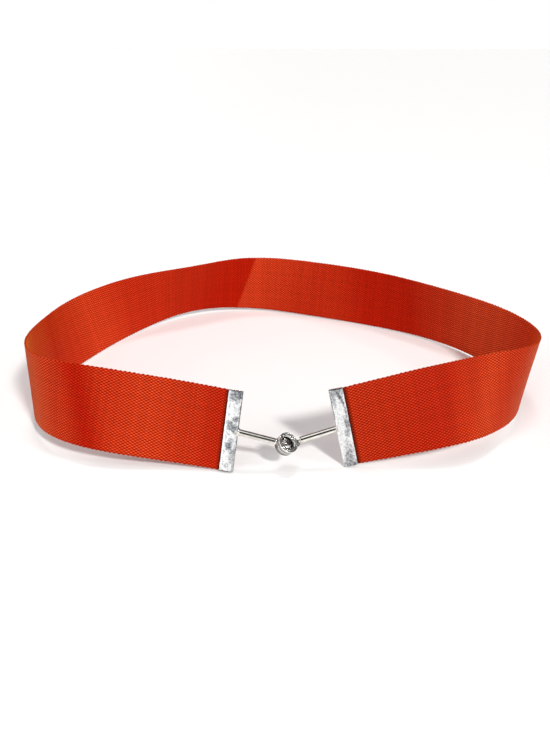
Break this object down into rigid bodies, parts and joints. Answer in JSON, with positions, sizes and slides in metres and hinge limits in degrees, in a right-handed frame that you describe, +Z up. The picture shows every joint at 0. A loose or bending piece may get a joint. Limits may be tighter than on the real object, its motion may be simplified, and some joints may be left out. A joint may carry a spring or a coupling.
{
  "type": "canvas belt",
  "caption": "Wide webbing belt standing as an open loop, its ends capped by folded metal clamps that two bars and a round stone-set clasp join at the front.",
  "frame": {"origin": "on the table, under the middle of the loop's box", "axes": "+X to the right as the clasp is seen from the front, +Y from the clasp to the back of the loop, +Z up across the band's width"},
  "size_m": [0.269, 0.2034, 0.0451],
  "materials": {
    "webbing": "plain-woven synthetic webbing, orange-red, slight sheen",
    "polished_metal": "polished silver plate, slightly uneven on the clamps",
    "crystal": "clear cut glass"
  },
  "bodies": {
    "root": {"webbing_band": "webbing", "left_clasp_half": "polished_metal", "right_clasp_half": "polished_metal", "crystal": "crystal"}
  },
  "joints": []
}
